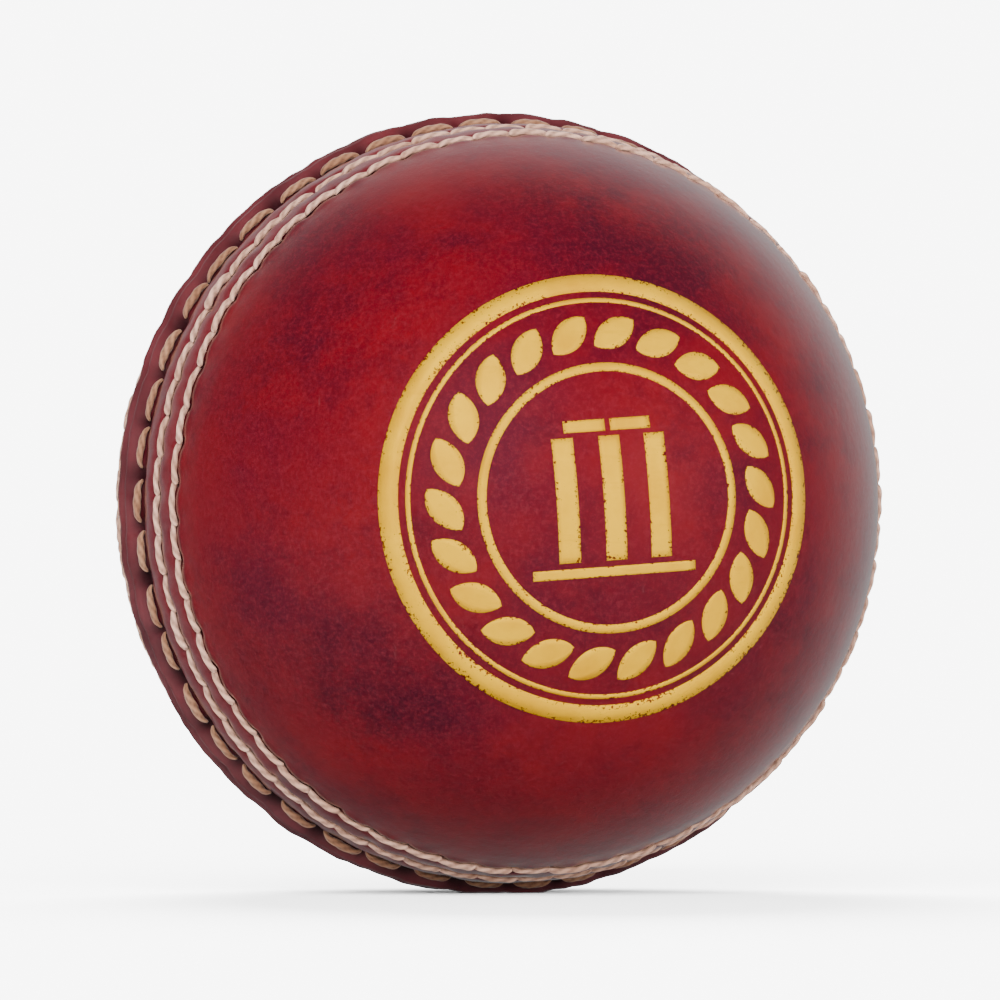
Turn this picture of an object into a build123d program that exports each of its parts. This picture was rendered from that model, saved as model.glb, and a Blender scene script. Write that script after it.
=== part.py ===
from build123d import *
import os
from math import cos, degrees, radians, sin

# A cricket ball with a two-piece leather cover. The origin is at the ball's
# centre. The seam lies in the XZ plane: the front cup faces -Y, the rear one +Y.

# ---- driving dimensions (mm) ----
ball_radius = 36.0  # leather surface away from the seam
cover_thickness = 3.8  # leather wall of a cup
fit_gap = 0.02  # left between two pressed layers

core_radius = 12.5
winding_thickness = 1.84  # each of the five yarn windings
cork_thickness = 2.62  # each of the four layers of cork slips
cork_layers = 4
slip_gap = 0.4  # between neighbouring cork slips
slip_limit = 41.8  # elevation at which six slips of a layer have equal areas

welt_rise = 0.25  # sewn band above the rest of the leather
welt_start = 70.0  # polar angle where the leather begins to rise
welt_full = 72.5  # polar angle where the band has its whole height
lip_start = 87.0  # polar angle where the edge's raised lip begins
lip_polar = 88.2  # crest of the lip
lip_rise = 0.95  # crest of the lip above the leather
join_depth = 0.1  # bottom of the groove between the two lips, below the leather

closing_stitches = 46
closing_thread_radius = 0.52
closing_polar = 85.6  # row of the closing stitches, from the cup's pole
closing_crown = 0.65  # top of the closing stitches above the leather
closing_half_chord = 1.75
closing_depth = 2.6  # depth at which the two halves of a loop meet

row_stitches = 60
row_thread_radius = 0.34
row_polars = {"middle": 79.3, "outer": 74.0}
row_crown = 0.55  # top of the row stitches above the leather
row_half_chord = 1.35
row_half_arc = 95.0  # a row stitch bends this far each side of its crown
row_lean = 30.0  # its arch leans this far over towards the join
pocket_gap = 0.03  # a stitch's hole is this much wider than its thread

foil_thickness = 0.06
foil_turn = 4.2  # the stamp's turn about the pole, in degrees
foil_rings = [(20.6, 19.0), (18.4, 18.0), (12.4, 11.6)]
leaf_count = 22
leaf_place = 15.2
leaf_length = 4.8
leaf_width = 2.6
leaf_lean = 35.0  # each leaf's turn from the radial direction
stump_size = (2.0, 11.4)
stump_spacing = 4.4
bail_size = (3.9, 1.1)
bail_lift = 6.7
crease_size = (15.6, 0.9)  # the bar under the stumps

# ---- the two cups' own frames: +Z towards the cup's pole ----
sides = {
    "front": Plane(origin=(0, 0, 0), x_dir=(1, 0, 0), z_dir=(0, -1, 0)),
    "rear": Plane(origin=(0, 0, 0), x_dir=(1, 0, 0), z_dir=(0, 1, 0)),
}


def save(piece, name):
    """Label a finished piece and write it as its own STEP file."""
    piece.part.label = name
    export_step(piece.part, f"parts/{name}.step")


def on_profile(radius, polar):
    """Point of a cup's half profile, in its own frame's XZ plane."""
    return (radius * sin(radians(polar)), radius * cos(radians(polar)))


def shell(inner, outer):
    """Closed spherical layer between two radii."""
    with BuildPart() as layer:
        Sphere(outer)
        if inner > 0:
            Sphere(inner, mode=Mode.SUBTRACT)
    return layer


def cork_slip(inner, outer):
    """One of the four curved slips round a layer's middle, facing +X."""
    half_gap = degrees(slip_gap / (inner + outer))
    with BuildPart() as slip:
        with BuildSketch(Plane.XZ.rotated((0, 0, half_gap - 45))):
            with BuildLine():
                lean = slip_limit - half_gap
                RadiusArc(on_profile(outer, 90 + lean), on_profile(outer, 90 - lean), -outer)
                Line(on_profile(outer, 90 - lean), on_profile(inner, 90 - lean))
                RadiusArc(on_profile(inner, 90 - lean), on_profile(inner, 90 + lean), inner)
                Line(on_profile(inner, 90 + lean), on_profile(outer, 90 + lean))
            make_face()
        revolve(axis=Axis.Z, revolution_arc=90 - 2 * half_gap)
    return slip


def cork_cap(inner, outer):
    """One of the two round slips that close a layer's ends, facing +Z."""
    half_gap = degrees(slip_gap / (inner + outer))
    edge = 90 - slip_limit - half_gap
    with BuildPart() as cap:
        with BuildSketch(Plane.XZ):
            with BuildLine():
                Line((0, inner), (0, outer))
                RadiusArc((0, outer), on_profile(outer, edge), outer)
                Line(on_profile(outer, edge), on_profile(inner, edge))
                RadiusArc(on_profile(inner, edge), (0, inner), -inner)
            make_face()
        revolve(axis=Axis.Z)
    return cap


def thread_arch(crown, rise, half_chord, half_arc, thread_radius):
    """Bent thread: an arc over the crown point, along Y, in the plane of rise."""
    along = Vector(0, 1, 0)
    middle = crown - rise * half_chord
    start = middle + (rise * cos(radians(half_arc)) - along * sin(radians(half_arc))) * half_chord
    heading = rise * sin(radians(half_arc)) + along * cos(radians(half_arc))
    with BuildPart() as arch:
        with BuildSketch(Plane(origin=start, z_dir=heading)):
            Circle(thread_radius)
        revolve(axis=Axis(middle, rise.cross(along)), revolution_arc=2 * half_arc)
    return arch


def closing_loop(thread_radius):
    """One closing stitch: a loop through both cups that ties them at the join."""
    crown_x, crown_z = on_profile(ball_radius + closing_crown - closing_thread_radius, closing_polar)
    crown = Vector(crown_x, 0, crown_z)
    foot = Vector(ball_radius - closing_depth, 0, 0)
    rise = (crown - foot).normalized()
    arch = thread_arch(crown, rise, closing_half_chord, 90, thread_radius)
    with BuildPart() as loop:
        add(arch.part)
        extrude(arch.faces().filter_by(GeomType.PLANE), amount=(crown - foot).length)
        split(bisect_by=Plane.XY)
        mirror(about=Plane.XY)
    return loop


def row_stitch(polar, thread_radius):
    """One arched stitch of an outer row, ends in the leather, crown to the join."""
    crown_x, crown_z = on_profile(ball_radius + row_crown - row_thread_radius, polar)
    lean = radians(polar + row_lean)
    rise = Vector(sin(lean), 0, cos(lean))
    return thread_arch(Vector(crown_x, 0, crown_z), rise, row_half_chord, row_half_arc, thread_radius)


def ring_of(stitch, count):
    """A whole row of equal stitches round the pole axis."""
    with BuildPart() as row:
        with PolarLocations(0, count):
            add(stitch.part)
    return row


def placed(piece, side):
    """The piece, carried from the cup's own frame to the ball's."""
    with BuildPart() as carried:
        with Locations(side):
            add(piece.part)
    return carried


def leather_cup():
    """One moulded cup of the cover, with its welt, lip and stitch holes."""
    inside = ball_radius - cover_thickness
    band = ball_radius + welt_rise
    with BuildPart() as cup:
        with BuildSketch(Plane.XZ):
            with BuildLine():
                Line((0, inside), (0, ball_radius))
                ThreePointArc((0, ball_radius), on_profile(ball_radius, welt_start / 2),
                              on_profile(ball_radius, welt_start))
                Line(on_profile(ball_radius, welt_start), on_profile(band, welt_full))
                ThreePointArc(on_profile(band, welt_full), on_profile(band, (welt_full + lip_start) / 2),
                              on_profile(band, lip_start))
                ThreePointArc(on_profile(band, lip_start), on_profile(ball_radius + lip_rise, lip_polar),
                              (ball_radius - join_depth, 0))
                Line((ball_radius - join_depth, 0), (inside, 0))
                ThreePointArc((inside, 0), on_profile(inside, 45), (0, inside))
            make_face()
        revolve(axis=Axis.Z)
        for polar in row_polars.values():
            hole = row_stitch(polar, row_thread_radius + pocket_gap)
            add(ring_of(hole, row_stitches).part, mode=Mode.SUBTRACT)
        add(ring_of(closing_loop(closing_thread_radius + pocket_gap), closing_stitches).part,
            mode=Mode.SUBTRACT)
    return cup


def foil_stamp():
    """Thin foil roundel on the front pole: rings, a wreath, a wicket on its crease."""
    with BuildPart() as foil:
        with BuildSketch(Plane.XY.rotated((0, 0, foil_turn)).offset(ball_radius / 2)):
            for outer, inner in foil_rings:
                Circle(outer)
                Circle(inner, mode=Mode.SUBTRACT)
            with PolarLocations(leaf_place, leaf_count):
                Ellipse(leaf_width / 2, leaf_length / 2, rotation=leaf_lean)
            with GridLocations(stump_spacing, 0, 3, 1):
                Rectangle(*stump_size)
            with Locations((0, bail_lift)):
                with GridLocations(stump_spacing, 0, 2, 1):
                    Rectangle(*bail_size)
            with Locations((0, -bail_lift)):
                Rectangle(*crease_size)
        extrude(amount=ball_radius)
        add(shell(ball_radius, ball_radius + foil_thickness).part, mode=Mode.INTERSECT)
    return foil


os.makedirs("parts", exist_ok=True)

# ---- the quilted centre: core, then windings and cork by turns ----
with BuildPart() as core:
    Sphere(core_radius)
save(core, "core")

slip_turns = {"right": 0, "back": 90, "left": 180, "fore": 270}
level = core_radius
for layer in range(1, cork_layers + 2):
    winding = shell(level + fit_gap, level + winding_thickness)
    save(winding, f"yarn_winding_{layer}")
    level += winding_thickness
    if layer > cork_layers:
        break
    inner, outer = level + fit_gap, level + cork_thickness
    quilt = Location((0, 0, 0), (90 * (layer % 2), 0, 45 * (layer // 2 % 2)))
    for place, turn in slip_turns.items():
        with BuildPart() as slip:
            with Locations(quilt * Location((0, 0, 0), (0, 0, turn))):
                add(cork_slip(inner, outer).part)
        save(slip, f"cork_{layer}_{place}")
    for place, turn in {"top": 0, "bottom": 180}.items():
        with BuildPart() as cap:
            with Locations(quilt * Location((0, 0, 0), (turn, 0, 0))):
                add(cork_cap(inner, outer).part)
        save(cap, f"cork_{layer}_{place}")
    level += cork_thickness

# ---- the cover and its threads ----
cup = leather_cup()
for side_name, side in sides.items():
    save(placed(cup, side), f"{side_name}_cup")
    for row_name, polar in row_polars.items():
        row = ring_of(row_stitch(polar, row_thread_radius), row_stitches)
        save(placed(row, side), f"{side_name}_{row_name}_row")
closing_row = ring_of(closing_loop(closing_thread_radius), closing_stitches)
save(placed(closing_row, sides["front"]), "closing_thread")
save(placed(foil_stamp(), sides["front"]), "foil_stamp")
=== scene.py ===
import logging
import math
import random
from dataclasses import dataclass
from enum import Enum
from typing import Callable

import bmesh
import bpy
import numpy as np
from mathutils import Matrix, Vector, noise


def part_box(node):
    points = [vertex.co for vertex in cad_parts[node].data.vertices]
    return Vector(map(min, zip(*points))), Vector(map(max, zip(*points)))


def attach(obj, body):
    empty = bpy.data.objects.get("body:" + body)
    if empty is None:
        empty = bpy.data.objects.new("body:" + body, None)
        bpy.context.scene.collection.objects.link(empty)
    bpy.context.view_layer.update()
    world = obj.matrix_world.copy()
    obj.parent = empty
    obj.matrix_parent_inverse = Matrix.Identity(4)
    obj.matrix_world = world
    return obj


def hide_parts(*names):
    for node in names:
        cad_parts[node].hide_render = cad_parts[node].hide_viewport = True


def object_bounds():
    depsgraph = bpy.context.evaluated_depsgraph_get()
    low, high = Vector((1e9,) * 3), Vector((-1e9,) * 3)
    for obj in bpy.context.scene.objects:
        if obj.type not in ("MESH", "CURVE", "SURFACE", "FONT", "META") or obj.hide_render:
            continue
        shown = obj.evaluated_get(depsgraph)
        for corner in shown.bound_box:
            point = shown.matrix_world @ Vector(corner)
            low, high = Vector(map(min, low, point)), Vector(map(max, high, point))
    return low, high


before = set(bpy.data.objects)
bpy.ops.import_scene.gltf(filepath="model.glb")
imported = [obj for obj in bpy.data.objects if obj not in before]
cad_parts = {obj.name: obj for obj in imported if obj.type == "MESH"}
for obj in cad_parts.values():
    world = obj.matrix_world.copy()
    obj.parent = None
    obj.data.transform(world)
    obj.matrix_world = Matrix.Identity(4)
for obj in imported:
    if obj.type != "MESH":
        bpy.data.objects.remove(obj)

CAD_BOX = [list(corner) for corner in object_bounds()]
MM = 0.001
TURN = 2 * math.pi
SWELL = 0.045  # depth in mm of the leather's broad unevenness
ROW_STRAY = 0.06 * MM  # how far a stitch of a row strays across it
log = logging.getLogger("cricket_ball")

Colour = tuple[float, float, float]
Triple = tuple[float, float, float]
Pair = tuple[float, float]
Socket = bpy.types.NodeSocket


class Side(Enum):
    """The two halves of the cover, by the sign of their pole on the Y axis."""

    FRONT = -1
    REAR = 1

    @property
    def word(self) -> str:
        """The half's name, as the nodes spell it."""
        return self.name.lower()


@dataclass(frozen=True)
class Ball:
    """Sizes that the whole ball shares, in metres and degrees."""

    radius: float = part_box("rear_cup")[1][1]
    wall: float = 3.8 * MM
    middle_polar: float = 79.3
    outer_polar: float = 74.0
    closing_polar: float = 85.6
    row_stitches: int = 60
    closing_stitches: int = 46

    @property
    def inside(self) -> float:
        """Inner radius of the leather."""
        return self.radius - self.wall


BALL = Ball()


def smooth(low: float, high: float, value: np.ndarray) -> np.ndarray:
    """Smooth step from 0 at low to 1 at high.

    Args:
        low: value where the step starts.
        high: value where it ends.
        value: numbers to step.

    Returns:
        The steps, between 0 and 1.
    """
    part = np.clip((value - low) / (high - low), 0, 1)
    return part * part * (3 - 2 * part)


def bell(value: np.ndarray, width: float) -> np.ndarray:
    """Bell curve round zero that falls to 1/e at the given width."""
    return np.exp(-(value / width) ** 2)


def swell_at(place: Vector) -> float:
    """Broad unevenness of the leather at a point, round zero."""
    return noise.noise(place * 70) + 0.5 * noise.noise(place * 190)


# ---------------------------------------------------------------- finishes


class Nodes:
    """A new node material and short ways to add and join its nodes."""

    def __init__(self, name: str) -> None:
        """Start a material with a plain Principled shader.

        Args:
            name: name of the material.
        """
        self.material = bpy.data.materials.new(name)
        self.material.use_nodes = True
        self.tree = self.material.node_tree
        self.shader = self.tree.nodes["Principled BSDF"]
        self.place = self.add("ShaderNodeTexCoord").outputs["Object"]

    def add(self, kind: str, **settings: object) -> bpy.types.Node:
        """Add a node.

        Args:
            kind: the node's type.
            **settings: attributes to set on it.

        Returns:
            The new node.
        """
        node = self.tree.nodes.new(kind)
        for key, value in settings.items():
            setattr(node, key, value)
        return node

    def join(self, source: Socket, target: Socket) -> None:
        """Link an output to an input."""
        self.tree.links.new(source, target)

    def plain(self, **values: float | Colour) -> None:
        """Set the shader's own sockets to uniform values.

        Args:
            **values: a number or colour for each socket, spaces written as underscores.
        """
        for key, value in values.items():
            socket = self.shader.inputs[key.replace("_", " ")]
            socket.default_value = (*value, 1) if isinstance(value, tuple) else value

    def stretch(self, scale: Triple) -> Socket:
        """Object coordinates, scaled differently along each axis.

        Args:
            scale: factors along X, Y and Z.

        Returns:
            The scaled coordinates.
        """
        node = self.add("ShaderNodeMapping")
        node.inputs["Scale"].default_value = scale
        self.join(self.place, node.inputs["Vector"])
        return node.outputs["Vector"]

    def noise(
        self, scale: float, detail: float = 4, rough: float = 0.55, vector: Socket | None = None
    ) -> Socket:
        """Noise value.

        Args:
            scale: cycles per metre.
            detail: number of finer layers.
            rough: weight of each finer layer.
            vector: where to read it, the object coordinates if None.

        Returns:
            The noise, from 0 to 1.
        """
        node = self.add("ShaderNodeTexNoise")
        node.inputs["Scale"].default_value = scale
        node.inputs["Detail"].default_value = detail
        node.inputs["Roughness"].default_value = rough
        self.join(vector or self.place, node.inputs["Vector"])
        return node.outputs["Fac"]

    def cells(self, scale: float, feature: str = "F1") -> Socket:
        """Cell pattern.

        Args:
            scale: cells per metre.
            feature: which distance in the pattern.

        Returns:
            The distance.
        """
        node = self.add("ShaderNodeTexVoronoi", feature=feature)
        node.inputs["Scale"].default_value = scale
        self.join(self.place, node.inputs["Vector"])
        return node.outputs["Distance"]

    def ramp(self, source: Socket, *stops: tuple[float, Colour]) -> Socket:
        """Colour ramp.

        Args:
            source: the value that picks the colour.
            *stops: places from 0 to 1 and their colours.

        Returns:
            The colour.
        """
        node = self.add("ShaderNodeValToRGB")
        elements = node.color_ramp.elements
        for index, (place, colour) in enumerate(stops):
            stop = elements[index] if index < 2 else elements.new(place)
            stop.position = place
            stop.color = (*colour, 1)
        self.join(source, node.inputs["Fac"])
        return node.outputs["Color"]

    def span(self, source: Socket, low: float, high: float, start: float = 0, end: float = 1) -> Socket:
        """Map a value from one range to another, clamped.

        Args:
            source: the value.
            low: input that gives start.
            high: input that gives end.
            start: output at low.
            end: output at high.

        Returns:
            The mapped value.
        """
        node = self.add("ShaderNodeMapRange")
        for key, value in {"From Min": low, "From Max": high, "To Min": start, "To Max": end}.items():
            node.inputs[key].default_value = value
        self.join(source, node.inputs["Value"])
        return node.outputs["Result"]

    def mix(self, factor: Socket, first: Socket | Colour, second: Socket | Colour) -> Socket:
        """Mix two colours.

        Args:
            factor: share of the second colour.
            first: a socket or a plain colour.
            second: a socket or a plain colour.

        Returns:
            The mixed colour.
        """
        node = self.add("ShaderNodeMix", data_type="RGBA")
        self.join(factor, node.inputs[0])
        for value, socket in ((first, node.inputs[6]), (second, node.inputs[7])):
            if isinstance(value, tuple):
                socket.default_value = (*value, 1)
            else:
                self.join(value, socket)
        return node.outputs[2]

    def sum(self, *terms: tuple[Socket, float]) -> Socket:
        """Weighted sum.

        Args:
            *terms: values and their weights.

        Returns:
            The sum.
        """
        total = None
        for value, weight in terms:
            node = self.add("ShaderNodeMath", operation="MULTIPLY_ADD")
            self.join(value, node.inputs[0])
            node.inputs[1].default_value = weight
            node.inputs[2].default_value = 0
            if total is not None:
                self.join(total, node.inputs[2])
            total = node.outputs[0]
        return total

    def near(self, middle: Triple, reach: float) -> Socket:
        """Nearness to a point of the object.

        Args:
            middle: the point, in metres.
            reach: distance at which it is zero.

        Returns:
            One at the point, fading to zero.
        """
        node = self.add("ShaderNodeVectorMath", operation="DISTANCE")
        node.inputs[1].default_value = middle
        self.join(self.place, node.inputs[0])
        return self.span(node.outputs["Value"], 0, reach, 1, 0)

    def attribute(self, name: str) -> Socket:
        """Value of a mesh attribute."""
        return self.add("ShaderNodeAttribute", attribute_name=name).outputs["Fac"]

    def bump(self, height: Socket, depth: float) -> None:
        """Bump the surface.

        Args:
            height: the relief.
            depth: what a height of one stands for, in metres.
        """
        node = self.add("ShaderNodeBump")
        node.inputs["Strength"].default_value = 1
        node.inputs["Distance"].default_value = depth
        self.join(height, node.inputs["Height"])
        self.join(node.outputs["Normal"], self.shader.inputs["Normal"])

    def colour(self, source: Socket) -> None:
        """Feed the shader's base colour."""
        self.join(source, self.shader.inputs["Base Color"])

    def rough(self, source: Socket) -> None:
        """Feed the shader's roughness."""
        self.join(source, self.shader.inputs["Roughness"])


@dataclass(frozen=True)
class DyedLeather:
    """Red dyed and lacquered leather: mottled and grained, scuffed and paler along its seam, with painted
    shade in its creases, holes and join and a painted grey haze of reflection on its lip.
    """

    bright: Colour = (0.165, 0.0010, 0.005)
    red: Colour = (0.125, 0.0010, 0.007)
    wine: Colour = (0.080, 0.001, 0.010)
    blotch: Colour = (0.036, 0.001, 0.009)
    # painted shade: the dark colour that the creases, stitch holes and join take
    crease_shade: Colour = (0.020, 0.002, 0.004)
    # pale leather of scuffs and of wear over the sewn band; on the lip it is also a painted grey haze of
    # reflection
    wear_and_haze: Colour = (0.165, 0.052, 0.058)
    grain_depth: float = 0.045 * MM
    dust: Colour = (0.20, 0.012, 0.024)
    # dark smudges: middle in ball radii, reach in metres, strength
    smudges: tuple[tuple[Triple, float, float], ...] = (
        ((0.04, -0.74, 0.66), 15 * MM, 0.24),
        ((0.28, -0.73, 0.60), 9 * MM, 0.14),
        ((-0.39, -0.76, -0.51), 13 * MM, 0.10),
        ((-0.66, -0.66, -0.36), 12 * MM, 0.09),
        ((0.66, -0.69, 0.28), 10 * MM, 0.12),
        ((-0.72, -0.55, 0.42), 10 * MM, 0.12),
    )

    def material(self) -> bpy.types.Material:
        """Build the leather's finish.

        Returns:
            The node material.
        """
        n = Nodes("dyed_leather")
        broad = n.noise(55, 5, 0.62)
        red = n.ramp(broad, (0.34, self.wine), (0.47, self.red), (0.64, self.bright))
        clouds = [(n.noise(75, 7, 0.72, n.stretch((1.0, 1.0, 1.5))), 0.55), (n.noise(230, 5, 0.7), 0.45)]
        for middle, reach, strength in self.smudges:
            clouds.append((n.near(tuple(BALL.radius * part for part in middle), reach), strength))
        patches = n.sum(*clouds)
        mottled = n.mix(n.span(patches, 0.50, 0.72, 0, 0.85), red, self.blotch)
        fine = n.noise(2700, 4, 0.75)
        speckled = n.mix(n.span(fine, 0.46, 0.74, 0, 0.62), mottled, self.dust)
        pores = n.span(n.cells(1150), 0.10, 0.03)
        pitted = n.mix(n.span(pores, 0, 1, 0, 0.35), speckled, self.blotch)
        scuffs = n.noise(420, 6, 0.78, n.stretch((1.0, 1.0, 0.22)))
        scuffed = n.mix(n.span(scuffs, 0.66, 0.74, 0, 0.45), pitted, self.wear_and_haze)
        # paler leather of wear over the sewn band; the lip's larger share of the band paints a grey haze of
        # reflection there
        welt = n.attribute("band")
        streaks = n.noise(900, 4, 0.7, n.stretch((1.0, 0.25, 1.0)))
        wear_and_haze_mask = n.sum((welt, 0.55), (streaks, 0.9))
        band_wear_and_haze = n.mix(n.span(wear_and_haze_mask, 0.82, 1.22, 0, 0.55), scuffed, self.wear_and_haze)
        # painted shade in the creases, stitch holes and join, from their attribute
        crease_shaded = n.mix(n.attribute("crease_shade"), band_wear_and_haze, self.crease_shade)
        n.colour(crease_shaded)
        n.rough(n.sum((n.span(fine, 0.3, 0.7, 0.34, 0.46), 1), (n.attribute("crease_shade"), 0.25), (welt, 0.08)))
        grain = n.sum((n.cells(950, "SMOOTH_F1"), 0.5), (fine, 0.55), (n.noise(300, 4, 0.6), 0.6))
        n.bump(grain, self.grain_depth)
        n.plain(Specular_IOR_Level=0.5, Coat_Weight=0.85, Coat_Roughness=0.16, Coat_IOR=1.5)
        return n.material


@dataclass(frozen=True)
class Thread:
    """Waxed twisted thread: fibres along its run, painted shade between its plies."""

    name: str
    light: Colour
    middle: Colour
    # painted shade in the grooves between the plies
    ply_shade: Colour
    fibre_depth: float = 0.05 * MM

    def material(self) -> bpy.types.Material:
        """Build the thread's finish.

        Returns:
            The node material.
        """
        n = Nodes(self.name)
        patches = n.noise(260, 4, 0.6)
        base = n.ramp(patches, (0.35, self.middle), (0.62, self.light))
        fibres = n.noise(3800, 3, 0.7)
        strands = n.mix(n.span(fibres, 0.35, 0.70, 0.45, 0), base, self.middle)
        # painted shade between the plies, where the valley attribute is deep, varied by noise
        valley = n.sum((n.attribute("valley"), 1.0), (patches, 0.4), (fibres, 0.3))
        n.colour(n.mix(n.span(valley, 0.65, 1.6, 0, 0.95), strands, self.ply_shade))
        n.rough(n.span(fibres, 0.2, 0.8, 0.50, 0.78))
        n.bump(n.sum((fibres, 0.7), (n.noise(1300, 4, 0.6), 0.6)), self.fibre_depth)
        n.plain(Specular_IOR_Level=0.4, Sheen_Weight=0.25, Sheen_Roughness=0.5)
        return n.material


@dataclass(frozen=True)
class GoldFoil:
    """Hot-stamped gold foil, thin and scratched, with the leather showing where it broke."""

    gold: Colour = (1.0, 0.53, 0.0)
    deep: Colour = (0.84, 0.40, 0.0)
    leather: Colour = (0.11, 0.003, 0.007)

    def material(self) -> bpy.types.Material:
        """Build the foil's finish.

        Returns:
            The node material.
        """
        n = Nodes("gold_foil")
        cloud = n.noise(150, 4, 0.6)
        gold = n.ramp(cloud, (0.30, self.deep), (0.56, self.gold))
        scratches = n.noise(900, 3, 0.7, n.stretch((0.12, 1.0, 1.0)))
        specks = n.sum((n.noise(3400, 3, 0.65), 0.75), (cloud, 0.30), (n.attribute("edge"), 0.16))
        broken = n.span(specks, 0.70, 0.745)
        n.colour(n.mix(broken, n.mix(n.span(scratches, 0.58, 0.72, 0, 0.5), gold, self.deep), self.leather))
        n.join(n.span(broken, 0, 1, 0.34, 0), n.shader.inputs["Metallic"])
        n.rough(n.sum((n.span(scratches, 0.3, 0.7, 0.30, 0.44), 1)))
        n.bump(n.sum((scratches, 0.5), (n.noise(1200, 3, 0.6), 0.5), (broken, -0.5)), 0.03 * MM)
        n.plain(Specular_IOR_Level=0.2)
        return n.material


@dataclass(frozen=True)
class CorkBark:
    """Cut cork: warm tan cells with dark lenticels."""

    light: Colour = (0.50, 0.31, 0.155)
    brown: Colour = (0.29, 0.155, 0.07)
    dark: Colour = (0.06, 0.028, 0.014)

    def material(self) -> bpy.types.Material:
        """Build the cork's finish.

        Returns:
            The node material.
        """
        n = Nodes("cork_bark")
        base = n.ramp(n.noise(320, 6, 0.65), (0.35, self.brown), (0.60, self.light))
        pits = n.noise(650, 5, 0.7, n.stretch((1.0, 0.4, 1.0)))
        n.colour(n.mix(n.span(pits, 0.60, 0.68), base, self.dark))
        n.rough(n.span(pits, 0.2, 0.8, 0.72, 0.92))
        n.bump(n.sum((pits, -1.0), (n.cells(1600), 0.4)), 0.20 * MM)
        return n.material


@dataclass(frozen=True)
class Worsted:
    """Worsted wool yarn in undyed white."""

    light: Colour = (0.70, 0.63, 0.50)
    shade: Colour = (0.46, 0.39, 0.29)

    def material(self) -> bpy.types.Material:
        """Build the yarn's finish.

        Returns:
            The node material.
        """
        n = Nodes("worsted_yarn")
        fibres = n.noise(2400, 5, 0.7)
        base = n.ramp(n.noise(210, 4, 0.6), (0.35, self.shade), (0.65, self.light))
        n.colour(n.mix(n.span(fibres, 0.35, 0.7, 0.5, 0), base, self.shade))
        n.rough(n.span(fibres, 0.2, 0.8, 0.75, 0.95))
        n.bump(fibres, 0.12 * MM)
        n.plain(Sheen_Weight=0.5, Sheen_Roughness=0.6)
        return n.material


@dataclass(frozen=True)
class MouldedCore:
    """Rubber bound with cork granules."""

    rubber: Colour = (0.035, 0.018, 0.013)
    granule: Colour = (0.36, 0.20, 0.09)

    def material(self) -> bpy.types.Material:
        """Build the core's finish.

        Returns:
            The node material.
        """
        n = Nodes("cork_rubber_core")
        grains = n.cells(420)
        lumps = n.sum((grains, 1.0), (n.noise(500, 4, 0.6), 0.35))
        n.colour(n.ramp(lumps, (0.42, self.granule), (0.60, self.rubber)))
        n.rough(n.span(grains, 0.1, 0.7, 0.85, 0.55))
        n.bump(lumps, -0.25 * MM)
        return n.material


# ---------------------------------------------------------------- shared making


def finish_piece(
    bm: bmesh.types.BMesh, name: str, material: bpy.types.Material, nodes: list[str]
) -> bpy.types.Object:
    """Turn a bmesh into a finished piece that stands for CAD nodes.

    Args:
        bm: the shape, in metres in the ball's frame; freed here.
        name: name of the piece.
        material: its finish.
        nodes: CAD nodes that it replaces.

    Returns:
        The new object.
    """
    mesh = bpy.data.meshes.new(name)
    bm.to_mesh(mesh)
    bm.free()
    mesh.polygons.foreach_set("use_smooth", [True] * len(mesh.polygons))
    mesh.materials.append(material)
    piece = bpy.data.objects.new(name, mesh)
    bpy.context.scene.collection.objects.link(piece)
    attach(piece, "root")
    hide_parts(*nodes)
    log.info("%s: %d faces", name, len(mesh.polygons))
    return piece


def on_ball(side: Side, radius: float, polar: float, turn: float) -> Vector:
    """A point by its radius, its polar angle from a cup's pole and its turn, in radians."""
    across = radius * math.sin(polar)
    return Vector((across * math.cos(turn), side.value * radius * math.cos(polar), across * math.sin(turn)))


# ---------------------------------------------------------------- the cover


@dataclass
class StitchPlan:
    """Where one row's stitches lie round the seam, with each one's own small errors."""

    count: int
    polar: float
    start: float
    seed: int
    stray: float = 0.10 * MM

    def __post_init__(self) -> None:
        """Draw each stitch's errors: along the row, across it and in height."""
        draw = random.Random(self.seed)
        self.errors = np.array([[draw.gauss(0, 1) for _ in range(4)] for _ in range(self.count)])

    @property
    def pitch(self) -> float:
        """Angle from one stitch to the next, in radians."""
        return TURN / self.count

    def arc(self) -> float:
        """Length of a pitch on the leather, in metres."""
        return BALL.radius * math.sin(math.radians(self.polar)) * self.pitch

    def nearest(self, turn: np.ndarray) -> tuple[np.ndarray, np.ndarray]:
        """Find the nearest stitch.

        Args:
            turn: turns round the pole axis, in radians.

        Returns:
            The stitch's number, and the way from its middle along the row in metres.
        """
        steps = (turn - self.start) / self.pitch
        number = np.rint(steps).astype(int) % self.count
        along = (steps - np.rint(steps)) * self.arc() - self.errors[number, 0] * self.stray
        return number, along


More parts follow.
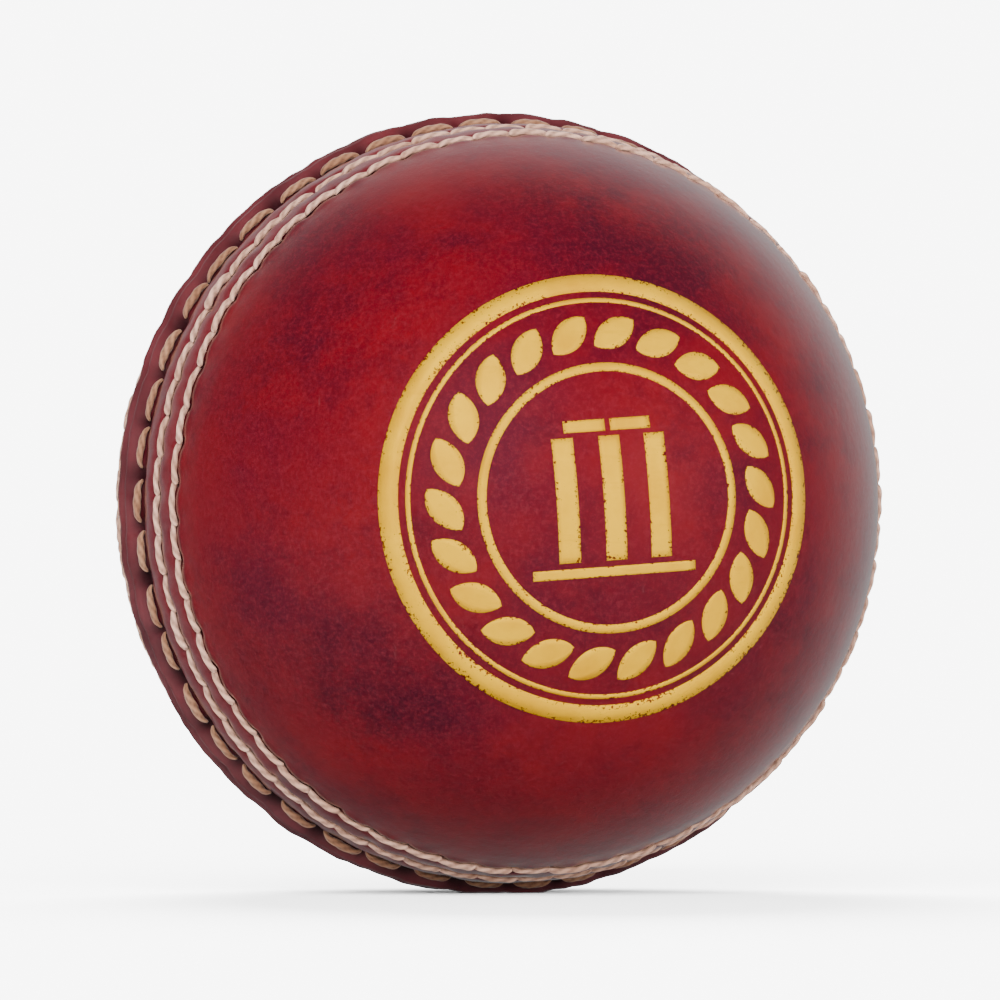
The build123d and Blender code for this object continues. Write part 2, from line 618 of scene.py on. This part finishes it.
@dataclass(frozen=True)
class SeamRelief:
    """Sizes of the leather's relief at the seam, in metres and polar degrees."""

    welt_rise: float = 0.12 * MM
    welt_edge: Pair = (71.5, 74.0)  # where the welt starts and where it is full
    # strips between the rows: middle, rise and width
    strips: tuple[Triple, ...] = ((76.7, 0.08 * MM, 0.95 * MM), (82.0, 0.12 * MM, 1.10 * MM))
    lip_polar: float = 88.25
    lip_width: float = 0.82 * MM
    lip_waves: Triple = (1.02, 0.05, 0.04)  # mean rise and two waves in it, in mm
    join_start: float = 89.15
    join_depth: float = 0.70 * MM
    outer_channel: float = 0.30 * MM  # depth of the leather under a row's threads
    middle_channel: float = 0.32 * MM
    channel_width: float = 0.46 * MM
    row_hole_depth: float = 0.45 * MM
    row_hole_width: float = 0.42 * MM
    row_hole_shift: float = 0.22 * MM  # towards the pole
    pole_side_shift: float = 0.62 * MM  # painted shadow line beside the threads
    pole_side_width: float = 0.34 * MM
    pucker_rise: float = 0.05 * MM
    pucker_reach: Pair = (-2.6 * MM, -0.5 * MM)
    valley_depth: float = 0.40 * MM  # under the closing stitches
    valley_width: float = 0.95 * MM
    valley_shift: float = 0.1 * MM
    closing_hole_depth: float = 0.85 * MM
    closing_hole_width: float = 0.62 * MM
    closing_hole_shift: float = 0.55 * MM  # towards the join
    pinch_depth: float = 0.09 * MM  # the lip drawn in between two closing stitches
    pinch_polar: float = 88.3
    pinch_size: Pair = (0.95 * MM, 0.9 * MM)  # along the lip and across it


@dataclass
class SeamPlan:
    """The rows of one side and the shape of the leather about them."""

    side: Side
    relief: SeamRelief = SeamRelief()

    def __post_init__(self) -> None:
        """Lay out the three rows."""
        seed = 10 if self.side is Side.FRONT else 20
        half = 0.5 if self.side is Side.REAR else 0.0
        row_pitch = TURN / BALL.row_stitches
        self.outer = StitchPlan(BALL.row_stitches, BALL.outer_polar, half * row_pitch, seed + 1)
        self.middle = StitchPlan(BALL.row_stitches, BALL.middle_polar, (half + 0.35) * row_pitch, seed + 2)
        self.closing = StitchPlan(BALL.closing_stitches, BALL.closing_polar, 0.0, 5, 0.16 * MM)

    def across(self, polar: np.ndarray, middle: float) -> np.ndarray:
        """Way across the seam from a polar angle, in metres on the leather."""
        return (polar - middle) * (BALL.radius * math.pi / 180)

    def rise(self, polar: np.ndarray, turn: np.ndarray) -> tuple[np.ndarray, np.ndarray, np.ndarray]:
        """Height of the leather above the ball's radius.

        Args:
            polar: polar angles in degrees.
            turn: turns round the pole axis, in radians.

        Returns:
            The height in metres, how much painted shade each point takes in the creases,
            holes and join (0 to 1) and how far in the sewn band (0 to 1.45).
        """
        height, crease_shade = self.edge_rise(polar, turn)
        self.sink_row(self.outer, self.relief.outer_channel, polar, turn, height, crease_shade)
        self.sink_row(self.middle, self.relief.middle_channel, polar, turn, height, crease_shade)
        self.sink_closing(polar, turn, height, crease_shade)
        # the lip's extra 0.45 share paints a grey haze of reflection on the lip with the pale wear colour
        band = smooth(71.5, 74.5, polar) + 0.45 * smooth(85.8, 87.4, polar)
        return height, np.clip(crease_shade, 0, 1), band

    def edge_rise(self, polar: np.ndarray, turn: np.ndarray) -> tuple[np.ndarray, np.ndarray]:
        """Rise of the welt, its strips and the lip, and the dip at the join.

        Args:
            polar: polar angles in degrees.
            turn: turns round the pole axis, in radians.

        Returns:
            The height in metres and the painted shade of the join's groove and of the slope up to the lip.
        """
        relief = self.relief
        welt = relief.welt_rise * smooth(*relief.welt_edge, polar)
        strip = sum(rise * bell(self.across(polar, middle), width) for middle, rise, width in relief.strips)
        waves = 1 + 0.25 * np.sin(turn * 23 + 1.3) + 0.18 * np.sin(turn * 41 + polar * 0.4)
        mean, slow, quick = relief.lip_waves
        lip = (mean + slow * np.sin(turn * 17 + 0.6) + quick * np.sin(turn * 37)) * MM
        height = welt + strip * waves
        height += lip * bell(self.across(polar, relief.lip_polar), relief.lip_width) * (polar > 60)
        join = smooth(relief.join_start, 90.0, polar)
        height -= relief.join_depth * join**2
        # painted shade on the slope from the closing stitches up to the lip; the return adds painted shade
        # in the join's groove
        lip_slope_shade = (0.26 + 0.14 * np.sin(turn * 29 + polar)) * smooth(83.6, 87.2, polar)
        return height, 0.9 * join**1.5 + lip_slope_shade

    def sink_row(
        self, plan: StitchPlan, depth: float, polar: np.ndarray, turn: np.ndarray,
        height: np.ndarray, crease_shade: np.ndarray,
    ) -> None:
        """Sink the channel and the holes of one pale row into the leather.

        Args:
            plan: the row.
            depth: depth of its channel, in metres.
            polar: polar angles in degrees.
            turn: turns in radians.
            height: height, changed here.
            crease_shade: painted shade in the channel, the holes and the shadow line on the pole side,
                changed here.
        """
        relief = self.relief
        number, along = plan.nearest(turn)
        across = self.across(polar, plan.polar) - plan.errors[number, 1] * ROW_STRAY
        channel = bell(across, relief.channel_width)
        height -= depth * channel
        end = np.abs(np.abs(along) - plan.arc() / 2)
        hole = bell(end, relief.row_hole_width) * bell(across + relief.row_hole_shift, relief.row_hole_width)
        height -= relief.row_hole_depth * hole
        pole_side_shadow = bell(across + relief.pole_side_shift, relief.pole_side_width)
        # painted shade in the channel and the holes, and a painted shadow line on the pole side of the
        # threads
        crease_shade += 0.45 * channel + 0.5 * hole + 0.35 * pole_side_shadow
        pucker = smooth(*relief.pucker_reach, across) * (across < 0)
        height += relief.pucker_rise * pucker * np.cos(along / plan.arc() * TURN)

    def sink_closing(
        self, polar: np.ndarray, turn: np.ndarray, height: np.ndarray, crease_shade: np.ndarray
    ) -> None:
        """Sink the closing stitches' valley and holes, and pinch the lip between them.

        Args:
            polar: polar angles in degrees.
            turn: turns in radians.
            height: height, changed here.
            crease_shade: painted shade in the valley and the holes, changed here.
        """
        relief = self.relief
        along = self.closing.nearest(turn)[1]
        across = self.across(polar, self.closing.polar)
        valley = bell(across - relief.valley_shift, relief.valley_width)
        height -= relief.valley_depth * valley
        gap = self.closing.arc() / 2 - np.abs(along)
        wide = relief.closing_hole_width
        hole = bell(gap, wide) * bell(across - relief.closing_hole_shift, wide)
        height -= relief.closing_hole_depth * hole
        pinch_long, pinch_wide = relief.pinch_size
        pinch = bell(gap, pinch_long) * bell(self.across(polar, relief.pinch_polar), pinch_wide)
        height -= relief.pinch_depth * pinch
        # painted shade in the valley under the closing stitches, deeper between them, and in their holes
        crease_shade += 0.30 * valley + 0.30 * valley * smooth(1.0 * MM, 0.2 * MM, gap) + 0.6 * hole


class LeatherCup:
    """One moulded leather cup with its welt, lip, stitch holes and puckers."""

    steps: int = 600
    cap_ring: float = 3.4  # degrees between two rings of the plain leather
    band_ring: float = 0.34  # degrees between two rings of the sewn band
    band_start: float = 68.0
    inner_ring: float = 9.0

    def __init__(self, side: Side, plan: SeamPlan, material: bpy.types.Material) -> None:
        """Build the cup of one side.

        Args:
            side: which cup.
            plan: its rows and the leather's shape about them.
            material: the leather's finish.
        """
        self.side = side
        self.plan = plan
        bm = self.spun_shell()
        piece = finish_piece(bm, f"{side.word}_leather", material, [f"{side.word}_cup"])
        self.shape(piece.data)

    def profile(self) -> list[tuple[float, float]]:
        """Half profile from the outside over the join face to the inside.

        Returns:
            The rings' radii and polar angles.
        """
        caps = int(self.band_start / self.cap_ring)
        rings = [(BALL.radius, self.band_start * i / caps) for i in range(caps)]
        bands = round((90 - self.band_start) / self.band_ring)
        wide = 90 - self.band_start
        rings += [(BALL.radius, self.band_start + wide * i / bands) for i in range(bands + 1)]
        rings.append((BALL.radius - BALL.wall / 2, 90.0))
        inners = round(90 / self.inner_ring)
        rings += [(BALL.inside, 90.0 * (1 - i / inners)) for i in range(inners + 1)]
        return rings

    def spun_shell(self) -> bmesh.types.BMesh:
        """Spin the profile once round the pole axis and close its poles.

        Returns:
            The shell, still smooth.
        """
        bm = bmesh.new()
        line = [bm.verts.new(on_ball(self.side, r, math.radians(p), 0)) for r, p in self.profile()]
        edges = [bm.edges.new(pair) for pair in zip(line, line[1:])]
        whole = line + edges
        bmesh.ops.spin(bm, geom=whole, axis=(0, 1, 0), angle=TURN, steps=self.steps, use_merge=True)
        bmesh.ops.remove_doubles(bm, verts=bm.verts, dist=0.002 * MM)
        bmesh.ops.recalc_face_normals(bm, faces=bm.faces)
        return bm

    def shape(self, mesh: bpy.types.Mesh) -> None:
        """Raise and sink the outside, and store the band attribute and the attribute of painted shade in
        creases, holes and join.

        Args:
            mesh: the cup's mesh, changed here.
        """
        places = np.empty(len(mesh.vertices) * 3)
        mesh.vertices.foreach_get("co", places)
        places = places.reshape(-1, 3)
        radius = np.linalg.norm(places, axis=1)
        polar = np.degrees(np.arccos(np.clip(np.abs(places[:, 1]) / radius, 0, 1)))
        turn = np.arctan2(places[:, 2], places[:, 0])
        height, crease_shade, band = self.plan.rise(polar, turn)
        points = [Vector(place) for place in places]
        height += np.array([swell_at(point) for point in points]) * SWELL * MM
        dents = np.array([noise.noise(point * 520) + 0.6 * noise.noise(point * 1100) for point in points])
        height += dents * band * (0.07 + 0.08 * bell(polar - 85.0, 1.6)) * MM
        inside = radius <= BALL.radius - 0.01 * MM
        height[inside] = 0
        # the inside of the leather takes painted shade too
        crease_shade[inside] = 0.6
        # moved along the radius only, so that the join's face stays flat
        places *= ((radius + height) / radius)[:, None]
        mesh.vertices.foreach_set("co", places.ravel())
        for name, values in (("crease_shade", crease_shade), ("band", band)):
            mesh.attributes.new(name, "FLOAT", "POINT").data.foreach_set("value", values)
        mesh.update()


# ---------------------------------------------------------------- the threads


@dataclass
class StitchShape:
    """The form of one stitch: where its middle line runs and how its plies twist."""

    sides: int
    rings: int
    radius: float
    plies: int
    ply_depth: float
    twists: float
    route: Callable[[float], Triple]
    girth: Callable[[float], float]

    def template(self) -> bmesh.types.BMesh:
        """Make the straight tube that every stitch is bent from.

        Returns:
            A capped tube of unit radius from -1 to 1 along Z, cut into rings.
        """
        bm = bmesh.new()
        bmesh.ops.create_cone(bm, cap_ends=True, segments=self.sides, radius1=1, radius2=1, depth=2)
        lengthwise = [e for e in bm.edges if abs(e.verts[0].co.z - e.verts[1].co.z) > 1]
        bmesh.ops.subdivide_edges(bm, edges=lengthwise, cuts=self.rings, use_grid_fill=True)
        return bm


class ThreadRow:
    """A whole row of stitches, each a twisted thread over its own stretch of leather."""

    def __init__(self, side: Side, plan: StitchPlan, shape: StitchShape) -> None:
        """Keep what the row is made of.

        Args:
            side: the cup that it lies on.
            plan: the stitches' places.
            shape: the stitch's form.
        """
        self.side = side
        self.plan = plan
        self.shape = shape

    def build(self, name: str, material: bpy.types.Material, nodes: list[str]) -> None:
        """Lay every stitch and finish the row as one piece.

        Args:
            name: name of the piece.
            material: the thread's finish.
            nodes: CAD nodes that it replaces.
        """
        template = bpy.data.meshes.new("stitch_template")
        tube = self.shape.template()
        tube.to_mesh(template)
        tube.free()
        bm = bmesh.new()
        valley = bm.verts.layers.float.new("valley")
        for number in range(self.plan.count):
            before = len(bm.verts)
            bm.from_mesh(template)
            bm.verts.ensure_lookup_table()
            self.lay(number, bm.verts[before:], valley)
        bpy.data.meshes.remove(template)
        bmesh.ops.recalc_face_normals(bm, faces=bm.faces)
        piece = finish_piece(bm, name, material, nodes)
        smoother = piece.modifiers.new("round", "SUBSURF")
        smoother.levels = smoother.render_levels = 1

    def lay(self, number: int, verts: list[bmesh.types.BMVert], valley: bmesh.types.BMLayerItem) -> None:
        """Bend one straight tube into its stitch on the ball.

        Args:
            number: which stitch of the row.
            verts: the tube's vertices.
            valley: layer that holds how deep between two plies a vertex is.
        """
        form, error = self.shape, self.plan.errors[number]
        middle = self.plan.start + number * self.plan.pitch
        phase = number * 2.4 + error[3]
        girth = 1 + 0.07 * error[2]
        length = 1 + 0.03 * error[0]
        for vert in verts:
            t = vert.co.z
            here = self.point(t, middle, length, error)
            ahead = self.point(t + 0.02, middle, length, error)
            tangent = (ahead - here).normalized()
            up = here.normalized()
            sidewise = tangent.cross(up).normalized()
            over = sidewise.cross(tangent)
            angle = math.atan2(vert.co.y, vert.co.x)
            ply = math.cos(form.plies * (angle - phase - t * form.twists * math.pi))
            reach = form.radius * girth * form.girth(t) * (1 - form.ply_depth * (1 - ply) / 2)
            vert[valley] = (1 - ply) / 2
            vert.co = here + (sidewise * math.cos(angle) + over * math.sin(angle)) * reach

    def point(self, t: float, middle: float, length: float, error: np.ndarray) -> Vector:
        """Point of a stitch's middle line.

        Args:
            t: place along the stitch, from -1 to 1.
            middle: turn of the stitch's middle, in radians.
            length: factor on its length.
            error: its own errors.

        Returns:
            The point, in metres.
        """
        along, across, height = self.shape.route(t)
        height += 0.04 * MM * error[2]
        across += ROW_STRAY * error[1]
        along = along * length + error[0] * self.plan.stray
        polar = math.radians(self.plan.polar) + across / BALL.radius
        turn = middle + along / (BALL.radius * math.sin(math.radians(self.plan.polar)))
        return on_ball(self.side, BALL.radius + height, polar, turn)


class SeamThreads:
    """All the threads of the seam: two pale rows on each cup and the closing thread."""

    row_reach: float = 2.05 * MM  # half a row stitch, tucked a little under the next
    closing_reach: float = 2.05 * MM

    def __init__(
        self, plans: dict[Side, SeamPlan], pale: bpy.types.Material, tan: bpy.types.Material
    ) -> None:
        """Sew every row.

        Args:
            plans: the rows' places on each side.
            pale: finish of the four decorative rows.
            tan: finish of the closing thread.
        """
        row = StitchShape(
            sides=8, rings=9, radius=0.37 * MM, plies=2, ply_depth=0.34, twists=1.35,
            route=self.row_route, girth=self.row_girth,
        )
        for side, plan in plans.items():
            for word, stitches in (("middle", plan.middle), ("outer", plan.outer)):
                node = f"{side.word}_{word}_row"
                ThreadRow(side, stitches, row).build(f"{node}_thread", pale, [node])
        knot = StitchShape(
            sides=12, rings=9, radius=0.46 * MM, plies=3, ply_depth=0.38, twists=1.1,
            route=self.closing_route, girth=self.closing_girth,
        )
        for side, plan in plans.items():
            nodes = ["closing_thread"] if side is Side.FRONT else []
            closing_row = ThreadRow(side, plan.closing, knot)
            closing_row.build(f"{side.word}_closing_thread", tan, nodes)

    def row_route(self, t: float) -> Triple:
        """Middle line of a row stitch: arched to the join, its end at the pole side.

        Args:
            t: place along the stitch, from -1 to 1.

        Returns:
            The way along the row, across it and above the leather, in metres.
        """
        along = t * self.row_reach
        across = 0.17 * MM - 0.07 * MM * t * t - 0.46 * MM * max(t, 0) ** 2.4
        fall = 0.62 * MM * max(-t - 0.35, 0) ** 1.3 + 1.6 * MM * max(t - 0.80, 0) ** 1.5
        return along, across, 0.10 * MM - fall

    def row_girth(self, t: float) -> float:
        """A row stitch is thickest just before its end, where it turns down into its hole."""
        return 1 + 0.14 * math.exp(-(((t - 0.70) / 0.22) ** 2)) - 0.34 * t**8

    def closing_route(self, t: float) -> Triple:
        """Middle line of a closing stitch: slanted, its ends dipping into the leather.

        Args:
            t: place along the stitch, from -1 to 1.

        Returns:
            The way along the row, across it and above the leather, in metres.
        """
        along = t * self.closing_reach
        across = 0.22 * MM + 0.24 * MM * t
        dip = 1.2 * max(abs(t) - 0.5, 0) ** 2 + 6.0 * max(abs(t) - 0.82, 0) ** 2
        return along, across, (0.27 - dip) * MM

    def closing_girth(self, t: float) -> float:
        """Spindle shape of a closing stitch."""
        return 1.04 - 0.62 * abs(t) ** 1.9


# ---------------------------------------------------------------- the stamp


class FoilStamp:
    """Gold roundel stamped on the front cup, in mm: rings, a wreath of leaves and a wicket."""

    turn: float = math.radians(4.2)
    lift: float = 0.035 * MM  # top of the foil above the leather
    sunk: float = 0.06 * MM  # its rim goes down this far
    rings: tuple[Pair, ...] = ((20.6, 19.0), (18.4, 18.0), (12.4, 11.6))
    leaves: int = 22
    leaf_place: float = 15.2
    leaf_size: Pair = (2.6, 4.8)
    leaf_lean: float = 0.6  # in radians
    stump_size: Pair = (2.0, 11.4)
    stump_spacing: float = 4.4
    bail_size: Pair = (3.9, 1.1)
    bail_lift: float = 6.7
    crease_size: Pair = (15.6, 0.9)

    def __init__(self, material: bpy.types.Material) -> None:
        """Stamp the roundel.

        Args:
            material: the foil's finish.
        """
        bm = bmesh.new()
        self.edge = bm.verts.layers.float.new("edge")
        for outer, inner in self.rings:
            self.ring(bm, outer, inner)
        for number in range(self.leaves):
            self.leaf(bm, TURN * number / self.leaves)
        for step in (-1, 0, 1):
            self.bar(bm, (step * self.stump_spacing, 0), self.stump_size)
        for step in (-0.5, 0.5):
            self.bar(bm, (step * self.stump_spacing, self.bail_lift), self.bail_size)
        self.bar(bm, (0, -self.bail_lift), self.crease_size)
        self.wrap(bm)
        finish_piece(bm, "foil_roundel", material, ["foil_stamp"])

    def ring(self, bm: bmesh.types.BMesh, outer: float, inner: float) -> None:
        """Flat ring with its rims marked as edges.

        Args:
            bm: the flat stamp.
            outer: outer radius in mm.
            inner: inner radius in mm.
        """
        middle = (outer + inner) / 2
        start = [bm.verts.new((r, 0, 0)) for r in (inner, middle, outer)]
        start[0][self.edge] = start[2][self.edge] = 1
        edges = [bm.edges.new(pair) for pair in zip(start, start[1:])]
        bmesh.ops.spin(bm, geom=start + edges, axis=(0, 0, 1), angle=TURN, steps=240, use_merge=True)

    def patch(
        self, bm: bmesh.types.BMesh, move: Matrix, shape: Callable[[float, float], Pair],
        cells: tuple[int, int] = (4, 16),
    ) -> None:
        """Grid of a few cells, shaped, moved and marked at its rim.

        Args:
            bm: the flat stamp.
            move: carries the patch to its place.
            shape: place in mm of a grid point from -1 to 1.
            cells: number of cells along X and Y.
        """
        made = bmesh.ops.create_grid(bm, x_segments=cells[0], y_segments=cells[1], size=1)["verts"]
        for vert in made:
            x, y = vert.co.x, vert.co.y
            vert[self.edge] = 1.0 if max(abs(x), abs(y)) > 0.99 else 0.0
            vert.co = move @ Vector((*shape(x, y), 0))

    def leaf(self, bm: bmesh.types.BMesh, angle: float) -> None:
        """One pointed leaf of the wreath.

        Args:
            bm: the flat stamp.
            angle: its place round the wreath, in radians.
        """
        wide, long = self.leaf_size
        out = Matrix.Rotation(angle, 4, "Z") @ Matrix.Translation((self.leaf_place, 0, 0))
        lean = Matrix.Rotation(self.leaf_lean, 4, "Z")
        self.patch(bm, out @ lean, lambda x, y: (x * wide / 2 * (1 - y * y) ** 0.8, y * long / 2))

    def bar(self, bm: bmesh.types.BMesh, place: Pair, size: Pair) -> None:
        """One straight bar of the wicket, in cells small enough to follow the ball.

        Args:
            bm: the flat stamp.
            place: its middle in mm.
            size: its width and height in mm.
        """
        cells = tuple(max(4, math.ceil(side / 0.7)) for side in size)
        move = Matrix.Translation((*place, 0))
        self.patch(bm, move, lambda x, y: (x * size[0] / 2, y * size[1] / 2), cells)

    def wrap(self, bm: bmesh.types.BMesh) -> None:
        """Carry the flat stamp onto the leather and give it its thin edge.

        Args:
            bm: the flat stamp, changed here.
        """
        bmesh.ops.remove_doubles(bm, verts=bm.verts, dist=1e-4)
        turned = Matrix.Rotation(self.turn, 3, "Z")
        for vert in bm.verts:
            flat = turned @ Vector((vert.co.x * MM, vert.co.y * MM, 0))
            place = Vector((flat.x, -math.sqrt(BALL.radius**2 - flat.x**2 - flat.y**2), flat.y))
            vert.co = place.normalized() * (BALL.radius + swell_at(place) * SWELL * MM + self.lift)
        bmesh.ops.recalc_face_normals(bm, faces=bm.faces)
        for face in bm.faces:
            if face.normal.dot(face.calc_center_median()) < 0:
                face.normal_flip()
        rim = bmesh.ops.extrude_face_region(bm, geom=list(bm.faces))
        down = [part for part in rim["geom"] if isinstance(part, bmesh.types.BMVert)]
        for vert in down:
            vert.co *= 1 - self.sunk / BALL.radius
        bmesh.ops.recalc_face_normals(bm, faces=bm.faces)


# ---------------------------------------------------------------- the centre


class QuiltedCentre:
    """The wound and quilted centre, dressed in cork, yarn and core finishes."""

    def __init__(self) -> None:
        """Give each inner CAD node its finish."""
        cork, yarn, core = CorkBark().material(), Worsted().material(), MouldedCore().material()
        finishes = {"cork_": cork, "yarn_": yarn, "core": core}
        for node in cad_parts:
            for start, material in finishes.items():
                if node.startswith(start):
                    self.dress(node, material)

    def dress(self, node: str, material: bpy.types.Material) -> None:
        """Put a material in each slot of a CAD node's object.

        Args:
            node: the CAD node.
            material: its finish.
        """
        piece = bpy.data.objects[node]
        for slot in piece.material_slots:
            slot.material = material


# ---------------------------------------------------------------- the studio


@dataclass
class Studio:
    """Camera, pale floor and soft lights."""

    distance: float = 24.0  # ball radii from the centre to the camera
    azimuth: float = 17.0
    elevation: float = -0.9
    lens: float = 327.2
    shift: Pair = (0.001, 0.0035)
    backdrop: float = 8.0  # brightness of the room to the camera
    # lights: name, azimuth, elevation, distance and size in metres, watts
    lamps: tuple[tuple[str, float, float, float, float, float], ...] = (
        ("key", 25, 24, 0.9, 0.8, 16.0),
        ("fill", -40, 0, 0.9, 0.8, 9.0),
        ("back", 190, 42, 0.9, 0.5, 14.0),
    )
    # brightness of the room by how far a direction faces away from the camera, then by its height
    far_side: tuple[float, float, float, float] = (0.15, 0.95, 0.06, 0.72)
    upper_side: tuple[float, float, float, float] = (-0.6, 0.4, 0.42, 1.0)

    def __post_init__(self) -> None:
        """Set up the camera, then the room."""
        self.camera()
        self.floor()
        self.lights()
        self.surroundings()

    def towards(self, azimuth: float, elevation: float) -> Vector:
        """Unit vector from the ball towards a point at an azimuth left of -Y and an elevation."""
        a, e = math.radians(azimuth), math.radians(elevation)
        return Vector((-math.sin(a) * math.cos(e), -math.cos(a) * math.cos(e), math.sin(e)))

    def camera(self) -> None:
        """Long lens, level with the ball."""
        data = bpy.data.cameras.new("camera")
        data.lens, data.sensor_width = self.lens, 36
        data.shift_x, data.shift_y = self.shift
        data.clip_start, data.clip_end = 0.05, 20
        camera = bpy.data.objects.new("camera", data)
        bpy.context.scene.collection.objects.link(camera)
        back = self.towards(self.azimuth, self.elevation)
        camera.location = back * BALL.radius * self.distance
        camera.rotation_mode = "QUATERNION"
        camera.rotation_quaternion = (-back).to_track_quat("-Z", "Y")
        bpy.context.scene.camera = camera

    def floor(self) -> None:
        """Wide pale floor under the ball."""
        bm = bmesh.new()
        bmesh.ops.create_circle(bm, cap_ends=True, segments=96, radius=3.0)
        bmesh.ops.translate(bm, verts=bm.verts, vec=(0, 0, CAD_BOX[0][2]))
        mesh = bpy.data.meshes.new("floor")
        bm.to_mesh(mesh)
        bm.free()
        n = Nodes("pale_floor")
        n.colour(n.ramp(n.noise(40, 2, 0.5), (0.3, (0.86, 0.86, 0.86)), (0.7, (0.90, 0.90, 0.90))))
        n.plain(Roughness=0.9, Specular_IOR_Level=0.1)
        mesh.materials.append(n.material)
        floor = bpy.data.objects.new("floor", mesh)
        bpy.context.scene.collection.objects.link(floor)
        floor.is_shadow_catcher = True
        floor.visible_glossy = False

    def lights(self) -> None:
        """Large soft lights that fill the front without mirroring in the lacquer."""
        for name, azimuth, elevation, reach, size, power in self.lamps:
            data = bpy.data.lights.new(name, "AREA")
            data.shape, data.size, data.energy = "DISK", size, power
            light = bpy.data.objects.new(name, data)
            bpy.context.scene.collection.objects.link(light)
            way = self.towards(azimuth, elevation)
            light.location = way * reach
            light.rotation_mode = "QUATERNION"
            light.rotation_quaternion = (-way).to_track_quat("-Z", "Y")
            light.visible_glossy = False
            light.visible_camera = False

    def surroundings(self) -> None:
        """White room, darker on the camera's side of the ball, plain white to the camera."""
        world = bpy.data.worlds.new("studio")
        bpy.context.scene.world = world
        world.use_nodes = True
        tree = world.node_tree
        background = tree.nodes["Background"]
        background.inputs["Color"].default_value = (1, 1, 1, 1)
        place = tree.nodes.new("ShaderNodeTexCoord")
        facing = tree.nodes.new("ShaderNodeVectorMath")
        facing.operation = "DOT_PRODUCT"
        facing.inputs[1].default_value = -self.towards(self.azimuth, 0)
        far = self.limits(tree, self.far_side)
        far.interpolation_type = "SMOOTHSTEP"
        split = tree.nodes.new("ShaderNodeSeparateXYZ")
        upper = self.limits(tree, self.upper_side)
        room = tree.nodes.new("ShaderNodeMath")
        room.operation = "MULTIPLY"
        seen = tree.nodes.new("ShaderNodeLightPath")
        choose = tree.nodes.new("ShaderNodeMix")
        choose.inputs[3].default_value = self.backdrop
        for source, target in (
            (place.outputs["Generated"], facing.inputs[0]),
            (facing.outputs["Value"], far.inputs["Value"]),
            (place.outputs["Generated"], split.inputs[0]),
            (split.outputs["Z"], upper.inputs["Value"]),
            (far.outputs["Result"], room.inputs[0]),
            (upper.outputs["Result"], room.inputs[1]),
            (seen.outputs["Is Camera Ray"], choose.inputs[0]),
            (room.outputs["Value"], choose.inputs[2]),
            (choose.outputs[0], background.inputs["Strength"]),
        ):
            tree.links.new(source, target)

    def limits(self, tree: bpy.types.NodeTree, values: tuple[float, float, float, float]) -> bpy.types.Node:
        """Add a node that maps one range to another.

        Args:
            tree: the world's nodes.
            values: the range's two ends, then what they become.

        Returns:
            The new node.
        """
        node = tree.nodes.new("ShaderNodeMapRange")
        for key, value in zip(("From Min", "From Max", "To Min", "To Max"), values):
            node.inputs[key].default_value = value
        return node


def main() -> None:
    """Build the ball around its frame."""
    logging.basicConfig(level=logging.INFO, format="%(name)s %(message)s")
    Studio()
    plans = {side: SeamPlan(side) for side in Side}
    leather = DyedLeather().material()
    for side, plan in plans.items():
        LeatherCup(side, plan, leather)
    pale = Thread(
        "pale_linen", light=(0.88, 0.53, 0.39), middle=(0.60, 0.32, 0.21), ply_shade=(0.12, 0.040, 0.03)
    )
    tan = Thread(
        "tan_linen", light=(0.50, 0.255, 0.14), middle=(0.30, 0.135, 0.070), ply_shade=(0.07, 0.022, 0.016)
    )
    SeamThreads(plans, pale.material(), tan.material())
    FoilStamp(GoldFoil().material())
    QuiltedCentre()


if __name__ == "__main__":
    main()
